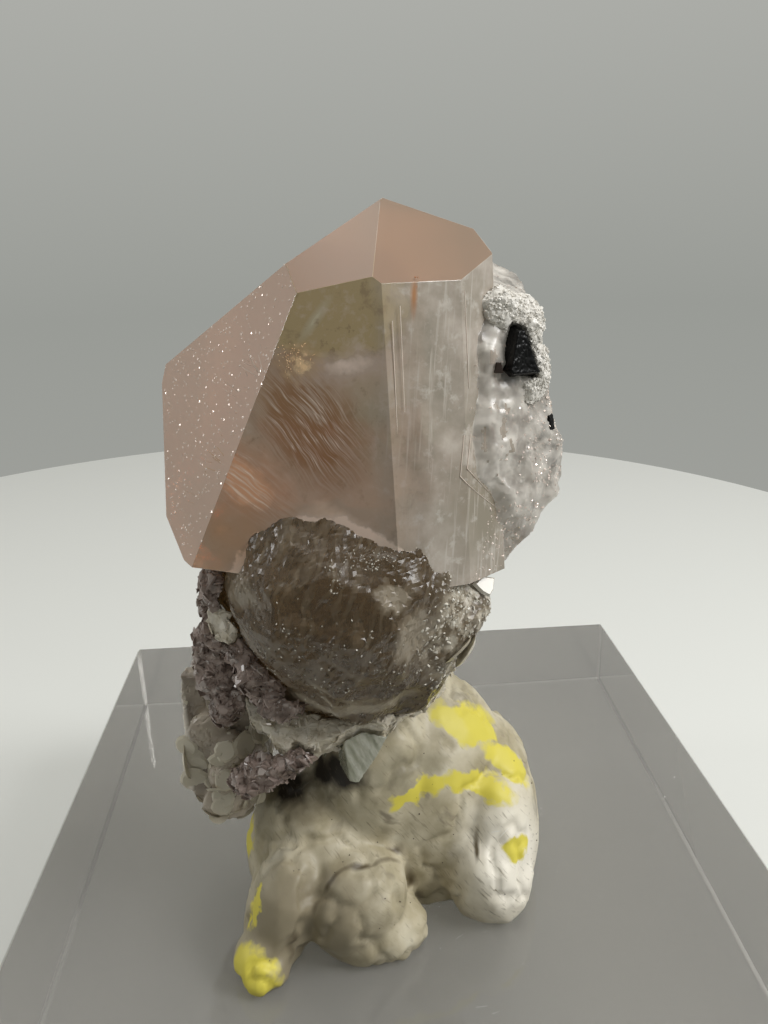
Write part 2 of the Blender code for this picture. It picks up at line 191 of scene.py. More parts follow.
def cloud(tree, place, size, detail, roughness=0.5):
    """Soft noise with lumps of this size."""
    return add(tree, "ShaderNodeTexNoise", {
        "Vector": place, "Scale": 1.0 / (size * MM), "Detail": detail, "Roughness": roughness,
    })


def calc(tree, operation, *values):
    """A Math node on these values."""
    return add(tree, "ShaderNodeMath", dict(enumerate(values)), operation=operation)


def drive(tree, shader, **patterns):
    """Links patterns to the shader's own sockets."""
    for key, value in patterns.items():
        if isinstance(value, bpy.types.Node):
            value = value.outputs[0]
        tree.links.new(value, shader.inputs[key.replace("_", " ")])


def fill(tree, shade, density):
    """Fills the solid with a clear colour, which deepens with its thickness."""
    tint = add(tree, "ShaderNodeVolumeAbsorption", {"Color": colour(shade), "Density": density})
    tree.links.new(tint.outputs["Volume"], tree.nodes["Material Output"].inputs["Volume"])


# Clear glossy plastic; scratches blur it in thin lines, and its thickness greys it
acrylic, tree, shader = new_material(
    "cast_acrylic", Base_Color=colour("#e2e0dc"), IOR=1.49, Transmission_Weight=0.82,
)
place = add(tree, "ShaderNodeTexCoord").outputs["Object"]
drawn = add(tree, "ShaderNodeMapping", {
    "Vector": place, "Scale": (1.0, 0.06, 1.0), "Rotation": (0, 0, radians(28)),
})
scratches = cloud(tree, drawn, SCRATCH_WIDTH, 3.0)
drive(tree, shader, Roughness=remap(tree, scratches, 0.55, 0.8, 0.012, 0.08))
fill(tree, "#b6b4ae", density=15.0)
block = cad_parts["display_block"]
block.data.materials.clear()
block.data.materials.append(acrylic)


def keep_result(obj):
    """Puts the object's modifiers into its mesh."""
    bpy.context.view_layer.update()
    graph = bpy.context.evaluated_depsgraph_get()
    mesh = bpy.data.meshes.new_from_object(obj.evaluated_get(graph))
    obj.modifiers.clear()
    obj.data = mesh
    return obj


def new_tree(name, **inputs):
    """A geometry node tree with a geometry input, these inputs and a geometry output."""
    tree = bpy.data.node_groups.new(name, "GeometryNodeTree")
    tree.interface.new_socket("Geometry", in_out="INPUT", socket_type="NodeSocketGeometry")
    for label, kind in inputs.items():
        tree.interface.new_socket(label.replace("_", " "), in_out="INPUT", socket_type="NodeSocket" + kind)
    tree.interface.new_socket("Geometry", in_out="OUTPUT", socket_type="NodeSocketGeometry")
    return tree, add(tree, "NodeGroupInput").outputs


def end_tree(tree, geometry, material):
    """Ends a tree in Realize Instances and Set Material."""
    real = add(tree, "GeometryNodeRealizeInstances", {"Geometry": geometry})
    finished = add(tree, "GeometryNodeSetMaterial", {"Geometry": real, "Material": material})
    add(tree, "NodeGroupOutput", {"Geometry": finished})


def run_tree(obj, tree, **values):
    """Runs a node tree on an object, with its named inputs, and keeps the result as its mesh."""
    modifier = obj.modifiers.new(tree.name, "NODES")
    modifier.node_group = tree
    for item in tree.interface.items_tree:
        label = item.name.replace(" ", "_")
        if item.in_out == "INPUT" and label in values:
            modifier[item.identifier] = values[label]
    return keep_result(obj)


# Scatters chips on a surface, inside an ellipsoid with a ragged edge
on_surface, given = new_tree(
    "scatter on a surface", Chip="Object", Density="Float", Middle="Vector", Radii="Vector", Smallest="Float",
    Largest="Float", Tilt="Float", Seed="Int", Material="Material",
)
spot = add(on_surface, "GeometryNodeInputPosition")
ragged = add(on_surface, "ShaderNodeTexNoise", {"Scale": 600.0, "Detail": 2.0})
away = add(on_surface, "ShaderNodeVectorMath", {0: spot, 1: given["Middle"]}, operation="SUBTRACT")
away = add(on_surface, "ShaderNodeVectorMath", {0: away, 1: given["Radii"]}, operation="DIVIDE")
away = add(on_surface, "ShaderNodeVectorMath", {0: away}, operation="LENGTH")
away = calc(on_surface, "ADD", away.outputs["Value"], ragged)
near = add(on_surface, "FunctionNodeCompare", {0: away, 1: 1.5}, operation="LESS_THAN")
points = add(on_surface, "GeometryNodeDistributePointsOnFaces", {
    "Mesh": given["Geometry"], "Selection": near, "Density": given["Density"], "Seed": given["Seed"],
})
lean = calc(on_surface, "MULTIPLY", given["Tilt"], -1.0)
least = add(on_surface, "ShaderNodeCombineXYZ", {"X": lean, "Y": lean, "Z": -3.2})
most = add(on_surface, "ShaderNodeCombineXYZ", {"X": given["Tilt"], "Y": given["Tilt"], "Z": 3.2})
turn = add(on_surface, "FunctionNodeRandomValue", {
    0: least, 1: most, "Seed": given["Seed"],
}, data_type="FLOAT_VECTOR")
size = add(on_surface, "FunctionNodeRandomValue", {
    2: given["Smallest"], 3: given["Largest"], "Seed": given["Seed"],
})
chip_shape = add(on_surface, "GeometryNodeObjectInfo", {"Object": given["Chip"]}).outputs["Geometry"]
chips = add(on_surface, "GeometryNodeInstanceOnPoints", {
    "Points": points, "Instance": chip_shape, "Rotation": points.outputs["Rotation"], "Scale": size,
})
turned = add(on_surface, "GeometryNodeRotateInstances", {"Instances": chips, "Rotation": turn})
end_tree(on_surface, turned, given["Material"])

# Scatters chips through a turned ellipsoid, thicker in its middle
in_space, given = new_tree(
    "scatter in space", Chip="Object", Count="Int", Middle="Vector", Radii="Vector", Turn="Vector",
    Spread="Float", Smallest="Vector", Largest="Vector", Seed="Int", Material="Material",
)
points = add(in_space, "GeometryNodePoints", {"Count": given["Count"]})
index = add(in_space, "GeometryNodeInputIndex")
draws = [
    add(in_space, "FunctionNodeRandomValue", {
        0: (-1, -1, -1), 1: (1, 1, 1), "ID": index, "Seed": calc(in_space, "ADD", given["Seed"], float(step)),
    }, data_type="FLOAT_VECTOR")
    for step in (0, 1, 2)
]
spot = add(in_space, "ShaderNodeVectorMath", {0: draws[0], 1: draws[1]}, operation="ADD")
spot = add(in_space, "ShaderNodeVectorMath", {0: spot, 1: (0.5, 0.5, 0.5)}, operation="MULTIPLY")
spot = add(in_space, "ShaderNodeVectorMath", {0: spot, 1: given["Radii"]}, operation="MULTIPLY")
spot = add(in_space, "ShaderNodeVectorRotate", {
    "Vector": spot, "Rotation": given["Turn"],
}, rotation_type="EULER_XYZ")
spot = add(in_space, "ShaderNodeVectorMath", {0: spot, 1: given["Middle"]}, operation="ADD")
placed = add(in_space, "GeometryNodeSetPosition", {"Geometry": points, "Position": spot})
stray = add(in_space, "ShaderNodeVectorMath", {0: draws[2], "Scale": given["Spread"]}, operation="SCALE")
turn = add(in_space, "ShaderNodeVectorMath", {0: given["Turn"], 1: stray}, operation="ADD")
size = add(in_space, "FunctionNodeRandomValue", {
    0: given["Smallest"], 1: given["Largest"], "Seed": given["Seed"],
}, data_type="FLOAT_VECTOR")
chip_shape = add(in_space, "GeometryNodeObjectInfo", {"Object": given["Chip"]}).outputs["Geometry"]
chips = add(in_space, "GeometryNodeInstanceOnPoints", {
    "Points": placed, "Instance": chip_shape, "Rotation": turn, "Scale": size,
})
end_tree(in_space, chips, given["Material"])


def chip(name, sides, thick, taper=0.8, jag=0.35):
    """A prism to be scattered, one metre wide so that its scale is its size; jag makes it uneven."""
    bm = bmesh.new()
    bmesh.ops.create_cone(bm, cap_ends=True, segments=sides, radius1=0.5, radius2=0.5 * taper, depth=thick)
    for vert in bm.verts:
        vert.co.x *= 1.0 + jag * sin(vert.co.y * 7.0 + sides)
    made = new_object(name, bm)
    made.data.transform(Matrix.Scale(1.0 / MM, 4))
    return made


flake_chip = chip("flake_chip", sides=6, thick=0.12)
grain_chip = chip("grain_chip", sides=5, thick=0.8, taper=0.6)
fibre_chip = chip("fibre_chip", sides=3, thick=1.0, taper=0.7)


def finish(obj, replaced=None):
    """Gives a finished piece its body, and takes the plain node away."""
    if replaced:
        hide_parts(replaced)
    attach(obj, "root")
    return obj


def scatter_on(base, name, chip, look, density, middle, radii, sizes, tilt, seed):
    """Chips on a piece's surface, as one object; the density is for a square millimetre."""
    made = bpy.data.objects.new(name, base.data.copy())
    bpy.context.scene.collection.objects.link(made)
    run_tree(
        made, on_surface, Chip=chip, Density=density * 1e6, Middle=Vector(middle) * MM,
        Radii=Vector(radii) * MM, Smallest=sizes[0] * MM, Largest=sizes[1] * MM, Tilt=tilt, Seed=seed,
        Material=look,
    )
    return finish(made)


def scatter_in(name, chip, look, count, middle, radii, turn, spread, smallest, largest, seed):
    """Chips in an ellipsoid, as one object; the turn is in degrees, the sizes are along three axes."""
    made = new_object(name, bmesh.new())
    run_tree(
        made, in_space, Chip=chip, Count=count, Middle=Vector(middle) * MM, Radii=Vector(radii) * MM,
        Turn=Vector(radians(angle) for angle in turn), Spread=spread, Smallest=Vector(smallest) * MM,
        Largest=Vector(largest) * MM, Seed=seed, Material=look,
    )
    return finish(made)


# Loose pale dust, no part of the plastic
dust = plain("pale_dust", "#e8e8e4", 0.8)
scatter_in(
    "dust_on_block", grain_chip, dust, count=260, middle=(0, -8, BLOCK_TOP + 0.07),
    radii=(38, 30, 0.03), turn=(0, 0, 0), spread=0.4, smallest=(0.04, 0.04, 0.03), largest=(0.12, 0.1, 0.05),
    seed=4,
)
scatter_in(
    "lint_on_block", fibre_chip, dust, count=26, middle=(4, -14, BLOCK_TOP + 0.08),
    radii=(30, 24, 0.02), turn=(0, 90, 20), spread=0.25, smallest=(0.03, 0.03, 0.4), largest=(0.05, 0.05, 1.6),
    seed=9,
)

# The mounting putty
# Off-white putty with yellow worked into it, kneaded, pressed on the block and folded up round the
# foot of the specimen. It is dull, dented by fingers, creased where it folds, and a little grubby.
# Its front left, its folds and the hollows under the specimen are darkened by painted shade, and its
# right lobe is lightened by painted light.
PUTTY_VOXEL = 0.36

# Yellow places have a middle, radii and a turn; painted shade and light a middle, radii and a colour;
# and a crease shadow is a path along a fold, painted dark
PUTTY_YELLOW = (
    ((7.0, -16.0, 43.2), (5.5, 3.6, 1.5), (20, 25, 35)),
    ((10.8, -17.6, 39.6), (4.8, 2.6, 1.6), (0, 50, 30)),
    ((1.8, -21.2, 39.5), (3.8, 3.0, 1.0), (0, -14, 0)),
    ((7.4, -20.2, 38.8), (4.2, 3.0, 1.2), (0, 22, 0)),
    ((10.4, -22.4, 33.4), (1.8, 1.8, 1.3), (0, 30, 0)),
    ((-13.9, -25.8, 32.0), (0.6, 1.5, 3.0), (0, 15, 0)),
    ((-14.4, -29.2, 27.6), (3.0, 3.0, 2.3), (0, 0, 0)),
    ((-15.2, -18.0, 33.4), (1.0, 3.0, 2.2), (0, 0, 0)),
)
# Painted shade on the front left and in the hollows under the shelf and specimen; painted light on the right
# lobe
PUTTY_PAINTED_SHADE_AND_LIGHT = (
    ((-9.5, -28.0, 31.0), (9.0, 7.0, 9.0), "#8c826b"),
    ((-10.5, -21.0, 40.0), (5.0, 5.0, 4.0), "#7c715b"),
    ((10.0, -22.0, 31.5), (6.5, 8.0, 8.0), "#efe9da"),
    ((-5.5, -20.5, 41.5), (3.2, 5.0, 2.0), "#2a231b"),
    ((1.5, -22.0, 42.0), (5.0, 4.0, 2.6), "#8e866e"),
    ((-10.7, -17.4, 38.2), (3.2, 3.0, 2.0), "#2c241b"),
    ((-7.3, -18.6, 40.3), (2.8, 3.0, 2.0), "#241d15"),
)
# Painted shadows: dark lines along the folds stand in for the shade inside the creases
PUTTY_CREASE_SHADOWS = (
    ((-10.8, -27.8, 27.4), (-9.7, -27.8, 31.3), (-7.9, -26.4, 33.4), (-5.6, -25.2, 34.8), (-2.8, -24.6, 34.7),
     (-0.5, -23.1, 33.2)),
    ((-1.9, -22.3, 36.5), (0.1, -21.9, 32.1), (2.0, -21.0, 26.2)),
    ((7.0, -21.5, 35.4), (6.6, -23.6, 31.0), (7.4, -24.0, 28.4)),
)


def copy_of(node, name):
    """A new object with the node's mesh, its loose triangles merged."""
    bm = bmesh.new()
    bm.from_mesh(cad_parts[node].data)
    bmesh.ops.remove_doubles(bm, verts=bm.verts, dist=1e-6)
    mesh = bpy.data.meshes.new(name)
    bm.to_mesh(mesh)
    bm.free()
    made = bpy.data.objects.new(name, mesh)
    bpy.context.scene.collection.objects.link(made)
    return made


def remeshed(obj, voxel, smoothing):
    """Remeshes a solid in even small faces, and softens its facets."""
    remesh = obj.modifiers.new("even faces", "REMESH")
    remesh.mode = "VOXEL"
    remesh.voxel_size = voxel * MM
    soften = obj.modifiers.new("soften", "SMOOTH")
    soften.iterations = smoothing
    soften.factor = 0.5
    return keep_result(obj)


# Roughens a solid: broad lumps, creases that cut in, and fine grain, each by height and size
roughen, given = new_tree(
    "roughen", Facet_Height="Float", Facet_Size="Float", Lump_Height="Float", Lump_Size="Float",
    Crease_Depth="Float", Crease_Size="Float", Grain_Height="Float", Grain_Size="Float", Seed="Float",
    Smooth="Bool", Material="Material",
)
normal = add(roughen, "GeometryNodeInputNormal")
finer = calc(roughen, "DIVIDE", 1.0, given["Facet Size"])
cells = add(roughen, "ShaderNodeTexVoronoi", {"W": given["Seed"], "Scale": finer}, voronoi_dimensions="4D")
hollow = calc(roughen, "SUBTRACT", cells.outputs["Distance"], 0.5)
offsets = [calc(roughen, "MULTIPLY", hollow, given["Facet Height"])]
for height, size in (
    ("Lump Height", "Lump Size"), ("Crease Depth", "Crease Size"), ("Grain Height", "Grain Size"),
):
    scale = calc(roughen, "DIVIDE", 1.0, given[size])
    pattern = add(roughen, "ShaderNodeTexNoise", {
        "W": given["Seed"], "Scale": scale, "Detail": 3.0, "Roughness": 0.55,
    }, noise_dimensions="4D")
    level = calc(roughen, "SUBTRACT", pattern, 0.5)
    if height == "Crease Depth":
        level = calc(roughen, "ABSOLUTE", level)
        level = remap(roughen, level, 0.0, 0.035, -1.0, 0.0)
    offsets.append(calc(roughen, "MULTIPLY", level, given[height]))
total = 0.0
for offset in offsets:
    total = calc(roughen, "ADD", offset, total)
push = add(roughen, "ShaderNodeVectorMath", {0: normal, "Scale": total}, operation="SCALE")
moved = add(roughen, "GeometryNodeSetPosition", {"Geometry": given["Geometry"], "Offset": push})
shaded = add(roughen, "GeometryNodeSetShadeSmooth", {"Geometry": moved, "Shade Smooth": given["Smooth"]})
end_tree(roughen, shaded, given["Material"])


def roughened(obj, look, voxel, smoothing, lump, crease, grain, seed, facet=(0.0, 1.0), smooth=True):
    """Remeshes a solid, and adds lumps, creases, grain and facets, given as heights and sizes."""
    return run_tree(
        remeshed(obj, voxel, smoothing), roughen,
        Facet_Height=facet[0] * MM, Facet_Size=facet[1] * MM,
        Lump_Height=lump[0] * MM, Lump_Size=lump[1] * MM,
        Crease_Depth=crease[0] * MM, Crease_Size=crease[1] * MM,
        Grain_Height=grain[0] * MM, Grain_Size=grain[1] * MM,
        Seed=seed, Smooth=smooth, Material=look,
    )


def wobbled(tree, place, size, height):
    """Object coordinates pushed about by noise of this size and height, for ragged masks."""
    pattern = cloud(tree, place, size, 3.0)
    centred = add(tree, "ShaderNodeVectorMath", {
        0: pattern.outputs["Color"], 1: (0.5, 0.5, 0.5),
    }, operation="SUBTRACT")
    pushed = add(tree, "ShaderNodeVectorMath", {0: centred, "Scale": height * MM}, operation="SCALE")
    return add(tree, "ShaderNodeVectorMath", {0: place, 1: pushed}, operation="ADD")


def patch_mask(tree, place, middle, radii, turn=(0, 0, 0), core=0.75):
    """A mask that is 1 in a turned ellipsoid and falls to 0 at its rim."""
    local = add(tree, "ShaderNodeMapping", {
        "Vector": place, "Location": Vector(middle) * MM, "Rotation": [radians(angle) for angle in turn],
        "Scale": Vector(radii) * MM,
    }, vector_type="TEXTURE")
    far = add(tree, "ShaderNodeVectorMath", {0: local}, operation="LENGTH").outputs["Value"]
    return remap(tree, far, core, 1.0, 1.0, 0.0)


def streaks(tree, place, size, stretch, turn, low, high):
    """A mask of streaks: noise of this size, drawn out along Z and turned."""
    turned = add(tree, "ShaderNodeVectorRotate", {
        "Vector": place, "Rotation": [radians(angle) for angle in turn],
    }, rotation_type="EULER_XYZ")
    local = add(tree, "ShaderNodeMapping", {"Vector": turned, "Scale": (1.0, 0.2, 1.0 / stretch)})
    pattern = cloud(tree, local, size, 4.0)
    return remap(tree, pattern, low, high)


def mixed(tree, mask, under, over):
    """Two colours, or a node's colour and a colour, mixed by a mask."""
    made = add(tree, "ShaderNodeMix", {"Factor": mask}, data_type="RGBA")
    for index, value in ((6, under), (7, over)):
        if isinstance(value, str):
            made.inputs[index].default_value = colour(value)
        else:
            tree.links.new(value, made.inputs[index])
    return made.outputs[2]


# Dull oily putty; the mottling makes it look kneaded, grime streaks it, and painted shadows darken its creases
putty_look, tree, shader = new_material("kneaded_putty", IOR=1.48, Roughness=0.5)
place = add(tree, "ShaderNodeTexCoord").outputs["Object"]
mottle = cloud(tree, place, 3.2, 6.0)
shade = add(tree, "ShaderNodeValToRGB", {"Fac": mottle}, stops=(
    (0.28, "#998f72"), (0.45, "#b3a98e"), (0.6, "#c6bda4"), (0.8, "#d8d2be"),
)).outputs["Color"]
grime = streaks(tree, place, 1.4, 3.0, (30, 20, 50), 0.62, 0.72)
shade = mixed(tree, grime, shade, "#857c68")
ragged = wobbled(tree, place, 1.6, 2.6)
# Painted shade darkens the front left and the hollows under the specimen; painted light brightens the right
# lobe
for middle, radii, overlay_colour in PUTTY_PAINTED_SHADE_AND_LIGHT:
    shade = mixed(tree, patch_mask(tree, ragged, middle, radii, core=0.4), shade, overlay_colour)
hairs = streaks(tree, place, 0.2, 7.0, (10, 40, 0), 0.58, 0.8)
shade = mixed(tree, hairs, shade, "#8a806c")
yellow = 0.0
for middle, radii, turn in PUTTY_YELLOW:
    mask = patch_mask(tree, ragged, middle, radii, turn)
    yellow = calc(tree, "MAXIMUM", mask, yellow)
shade = mixed(tree, yellow, shade, "#d9cc52")
# Painted shadow along each fold line
wavering = wobbled(tree, place, 2.5, 0.8)
for path in PUTTY_CREASE_SHADOWS:
    for start, end in zip(path, path[1:]):
        along = Vector(end) - Vector(start)
        turn = [degrees(angle) for angle in along.to_track_quat("Z", "Y").to_euler()]
        middle = (Vector(start) + Vector(end)) / 2
        mask = patch_mask(tree, wavering, middle, (0.4, 0.9, along.length / 2 + 0.5), turn, 0.3)
        shade = mixed(tree, mask, shade, "#5f543f")
drive(tree, shader, Base_Color=shade)
putty = roughened(
    copy_of("mounting_putty", "kneaded_putty"), putty_look, PUTTY_VOXEL, smoothing=4, lump=(0.55, 7.5),
    crease=(0.4, 9.0), grain=(0.1, 0.6), seed=3.0,
)
finish(putty, "mounting_putty")

# Dark grit that the putty has picked up, as dull specks
grit = plain("dark_grit", "#3b3025", 0.7)
scatter_on(
    putty, "grit_in_putty", grain_chip, grit, density=0.04, middle=(0, -20, 35), radii=(30, 30, 30),
    sizes=(0.05, 0.18), tilt=0.5, seed=5,
)

# The smoky quartz crystal
# A rounded, corroded crystal of brown quartz, whose upper end grew into the morganite and shows
# through it as a brown shade with flat ends. Its right half has a white crust.
QUARTZ_IOR = 1.55
QUARTZ_SHADE = "#b49342"
QUARTZ_DENSITY = 75.0
QUARTZ_CLEAR = 0.84
QUARTZ_VOXEL = 0.3
RIBS_SHARE = 0.22
LOW_STREAKS_SHARE = 0.55
JOINED_IOR = 1.02


def joined(name, shade, density):
    """The look of a face that has grown together with its neighbour: only the body colour shows."""
    made, tree, _ = new_material(
        name, Base_Color=colour("#ffffff"), IOR=JOINED_IOR, Roughness=0.0, Transmission_Weight=1.0,
    )
    fill(tree, shade, density)
    return made


# Brown see-through body with a satin skin, duller where the milky crust, bands and ribs cover it
quartz_look, tree, shader = new_material("corroded_smoky_quartz", IOR=QUARTZ_IOR)
place = add(tree, "ShaderNodeTexCoord").outputs["Object"]
ragged = wobbled(tree, place, 1.8, 3.0)
torn = wobbled(tree, ragged, 0.5, 1.1)
crust = patch_mask(tree, ragged, (5.2, -22.0, 58.6), (6.0, 9.0, 7.8), core=0.6)
grains = remap(tree, cloud(tree, place, 0.9, 5.0), 0.42, 0.6, 0.2, 0.8)
crust = calc(tree, "MULTIPLY", crust, grains)
for middle, radii, share in (
    ((-0.9, -28.0, 63.2), (1.7, 5.0, 1.3), 0.4),
    ((0.6, -28.0, 59.4), (2.0, 5.0, 3.0), 0.38),
    ((-12.4, -24.0, 63.0), (1.8, 5.0, 2.4), 0.34),
    ((-7.4, -25.0, 52.0), (4.4, 5.0, 1.6), 0.55),
    ((-2.0, -27.0, 52.4), (4.4, 5.0, 1.2), 0.5),
):
    milky = calc(tree, "MULTIPLY", patch_mask(tree, torn, middle, radii, core=0.6), share)
    crust = calc(tree, "MAXIMUM", crust, milky)
ribs = streaks(tree, wobbled(tree, place, 4.0, 3.0), 0.5, 8.0, (0, -24, 0), 0.5, 0.72)
crust = calc(tree, "MAXIMUM", crust, calc(tree, "MULTIPLY", ribs, RIBS_SHARE))
low_zone = patch_mask(tree, ragged, (-8.0, -26.0, 55.5), (9.0, 8.0, 6.0), core=0.4)
low_streaks = streaks(tree, place, 0.6, 6.0, (0, 52, 0), 0.5, 0.68)
low_streaks = calc(tree, "MULTIPLY", low_streaks, low_zone)
haze = calc(tree, "MAXIMUM", crust, calc(tree, "MULTIPLY", low_streaks, LOW_STREAKS_SHARE))
drive(
    tree, shader, Transmission_Weight=calc(tree, "SUBTRACT", QUARTZ_CLEAR, haze),
    Base_Color=mixed(tree, haze, "#8a775a", "#cfc8b8"), Roughness=remap(tree, haze, 0.0, 0.6, 0.27, 0.4),
)
fill(tree, QUARTZ_SHADE, QUARTZ_DENSITY)

quartz = roughened(
    copy_of("smoky_quartz_crystal", "smoky_quartz_body"), quartz_look, QUARTZ_VOXEL, smoothing=1,
    lump=(0.6, 2.6), crease=(0.08, 1.4), grain=(0.12, 0.5), seed=5.0, facet=(1.6, 4.2), smooth=False,
)
finish(quartz, "smoky_quartz_crystal")

# Loose white chips of the crust, which catch the light as small glints
crust_look = plain("white_quartz_crust", "#cfcabd", 0.22, IOR=QUARTZ_IOR)
scatter_on(
    quartz, "quartz_crust_chips", flake_chip, crust_look, density=4.0,
    middle=(6.5, -23, 58.5), radii=(6, 9, 8), sizes=(0.06, 0.45), tilt=0.8, seed=2,
)
scatter_on(
    quartz, "quartz_streak_chips", flake_chip, crust_look, density=2.0,
    middle=(-7, -28, 56), radii=(9, 6, 6.5), sizes=(0.04, 0.2), tilt=1.0, seed=6,
)
for step, (middle, radii, density) in enumerate((
    ((-10.0, -25.5, 62.6), (3.2, 4.0, 1.0), 7.0),
    ((-5.0, -27.5, 64.9), (1.0, 4.0, 1.6), 9.0),
    ((-2.6, -27.0, 66.0), (2.2, 4.0, 0.8), 14.0),
    ((4.6, -25.0, 61.5), (1.8, 5.0, 3.4), 14.0),
)):
    scatter_on(
        quartz, f"quartz_glints_{step}", flake_chip, crust_look, density, middle, radii,
        sizes=(0.03, 0.2), tilt=1.2, seed=20 + step,
    )
scatter_in(
    "contact_chip", flake_chip, crust_look, count=1, middle=(7.2, -23.9, 61.2),
    radii=(0, 0, 0), turn=(56, 0, 27), spread=0.0, smallest=(1.8, 1.8, 2.0), largest=(2.0, 2.0, 2.2), seed=1,
)

# The morganite crystal
# A thick tabular crystal of pink beryl. Its front faces are glossy, its left face is frosted by
# etching, and its right side is deeply etched and glitters. It is one see-through solid.
BERYL_IOR = 1.58
BERYL_SHADE = "#ecac66"
BERYL_DENSITY = 4.5
UNCUT_SIZE = 60.0
EDGE_WEAR = 0.02
JOIN_GAP = 0.03
FLATNESS = 0.05
CRYSTAL_MIDDLE = (-1.0, -12.0, 72.0)
CRYSTAL_FACES = {
    "etched left": (-59, 22, 15.2),
    "top left": (-25, 49, 18.5),
    "top right": (26, 44, 18.1),
    "front left": (-14, 7.5, 14.5),
    "front middle": (25, 8, 13.9),
    "front right": (45, 6.5, 13.3),
    "right corner": (80, 39, 17.6),
    "right": (88, 2, 10.0),
    "back right": (140, 0, 12.5),
    "back": (178, -4, 11.5),
    "back left": (-140, -6, 14.5),
    "back roof": (172, 40, 17.0),
    "upper right": (105, 71, 18.1),
    "upper left": (-100, 57.4, 15.3),
    "left": (-96, -11, 18.3),
    "left foot": (-95, -50, 15.6),
    "underside": (-90, -85, 9.0),
}
ETCHED_MIDDLE = (6.0, -12.0, 72.5)
ETCHED_RADII = (12.0, 11.5, 15.5)
ETCHED_VOXEL = 0.22
ETCHED_SWELL = 0.9
ETCHED_SWELL_SIZE = 3.2
ETCHED_SWELL_START = (1.3, 2.21, -2.99)
ETCHED_FACES = {
    "upper right": (84, 11, 8.5),
    "lower right": (80, -36, 10.4),
    "front": (38, 8, 10.0),
    "front right": (60, 4, 10.2),
    "top": (60, 62, 12.6),
    "foot": (0, -90, 11.0),
    "back": (150, 0, 9.5),
}


def facing(azimuth, elevation):
    """The unit vector that points out at this azimuth and elevation, in degrees."""
    turn = radians(azimuth)
    lift = radians(elevation)
    return Vector((sin(turn) * cos(lift), -cos(turn) * cos(lift), sin(lift)))


def cut_flat(bm, middle, faces):
    """Cuts a solid back to flat faces, given as azimuth, elevation and distance."""
    for azimuth, elevation, distance in faces:
        normal = facing(azimuth, elevation)
        cut = bmesh.ops.bisect_plane(
            bm,
            geom=bm.verts[:] + bm.edges[:] + bm.faces[:],
            dist=1e-4,
            plane_co=Vector(middle) + normal * distance,
            plane_no=normal,
            clear_outer=True,
        )
        rim = [part for part in cut["geom_cut"] if isinstance(part, bmesh.types.BMEdge)]
        if rim:
            bmesh.ops.holes_fill(bm, edges=rim)
    bmesh.ops.recalc_face_normals(bm, faces=bm.faces)


def combine(obj, other, operation):
    """Joins two closed objects or cuts one by the other, and removes the second."""
    boolean = obj.modifiers.new("combine", "BOOLEAN")
    boolean.operation = operation
    boolean.solver = "MANIFOLD"
    boolean.object = other
    keep_result(obj)
    bpy.data.objects.remove(other)
    return obj


def beryl(name, roughness, clear, shade):
    """Pink beryl; clear is the share of light that it lets in, and shade colours the rest."""
    made, tree, shader = new_material(
        name, Base_Color=colour(shade), IOR=BERYL_IOR, Roughness=roughness, Transmission_Weight=clear,
    )
    fill(tree, BERYL_SHADE, BERYL_DENSITY)
    return made, tree, shader


crystal_bm = bmesh.new()
bmesh.ops.create_cube(crystal_bm, size=UNCUT_SIZE)
bmesh.ops.translate(crystal_bm, vec=CRYSTAL_MIDDLE, verts=crystal_bm.verts)
cut_flat(crystal_bm, CRYSTAL_MIDDLE, CRYSTAL_FACES.values())
morganite = new_object("morganite_crystal_body", crystal_bm)
edges = morganite.modifiers.new("worn edges", "BEVEL")
edges.width = EDGE_WEAR * MM
edges.segments = 2
keep_result(morganite)

etched_bm = bmesh.new()
bmesh.ops.create_icosphere(etched_bm, subdivisions=4, radius=1.0)
for vert in etched_bm.verts:
    spot = Vector(vert.co[i] * ETCHED_RADII[i] for i in range(3))
    swell = ETCHED_SWELL * noise.noise(spot / ETCHED_SWELL_SIZE + Vector(ETCHED_SWELL_START))
    vert.co = spot + vert.co * swell + Vector(ETCHED_MIDDLE)
cut_flat(etched_bm, ETCHED_MIDDLE, ETCHED_FACES.values())

# Etched side: ground-glass look, greyish white, with rougher and clearer places
etched_beryl, tree, shader = beryl("etched_beryl_side", 0.3, 0.4, "#e2dcd2")
place = add(tree, "ShaderNodeTexCoord").outputs["Object"]
uneven = cloud(tree, place, 1.6, 5.0)
drive(tree, shader, Transmission_Weight=remap(tree, uneven, 0.35, 0.65, 0.2, 0.75))
etched = roughened(
    new_object("etched_side", etched_bm), etched_beryl, ETCHED_VOXEL, smoothing=2, lump=(0.8, 2.6),
    crease=(0.1, 1.4), grain=(0.16, 0.7), seed=7.0, facet=(0.8, 2.4),
)
combine(morganite, etched, "UNION")

# Glossy face: clear on the left, milky and streaked on the right, with gold and brown stains
glossy_beryl, tree, shader = beryl("polished_beryl_face", 0.06, 0.8, "#d6c2ae")
place = add(tree, "ShaderNodeTexCoord").outputs["Object"]
ragged = wobbled(tree, place, 1.0, 1.6)
softly = wobbled(tree, place, 3.0, 4.0)
across = add(tree, "ShaderNodeSeparateXYZ", {"Vector": softly}).outputs["X"]
milky = remap(tree, across, -2.0 * MM, 2.5 * MM)
milk_shade = add(tree, "ShaderNodeValToRGB", {"Fac": cloud(tree, place, 4.5, 6.0, 0.6)}, stops=(
    (0.3, "#9a9384"), (0.48, "#bab0a2"), (0.6, "#d0c5b8"), (0.75, "#e6dfd4"),
)).outputs["Color"]
fibre_zone = patch_mask(tree, ragged, (-6.0, -24.0, 75.2), (4.6, 5.0, 7.0), (0, -34, 0), 0.5)
bent = wobbled(tree, place, 9.0, 3.0)
fibres = streaks(tree, bent, 0.15, 50.0, (0, 38, 0), 0.46, 0.66)
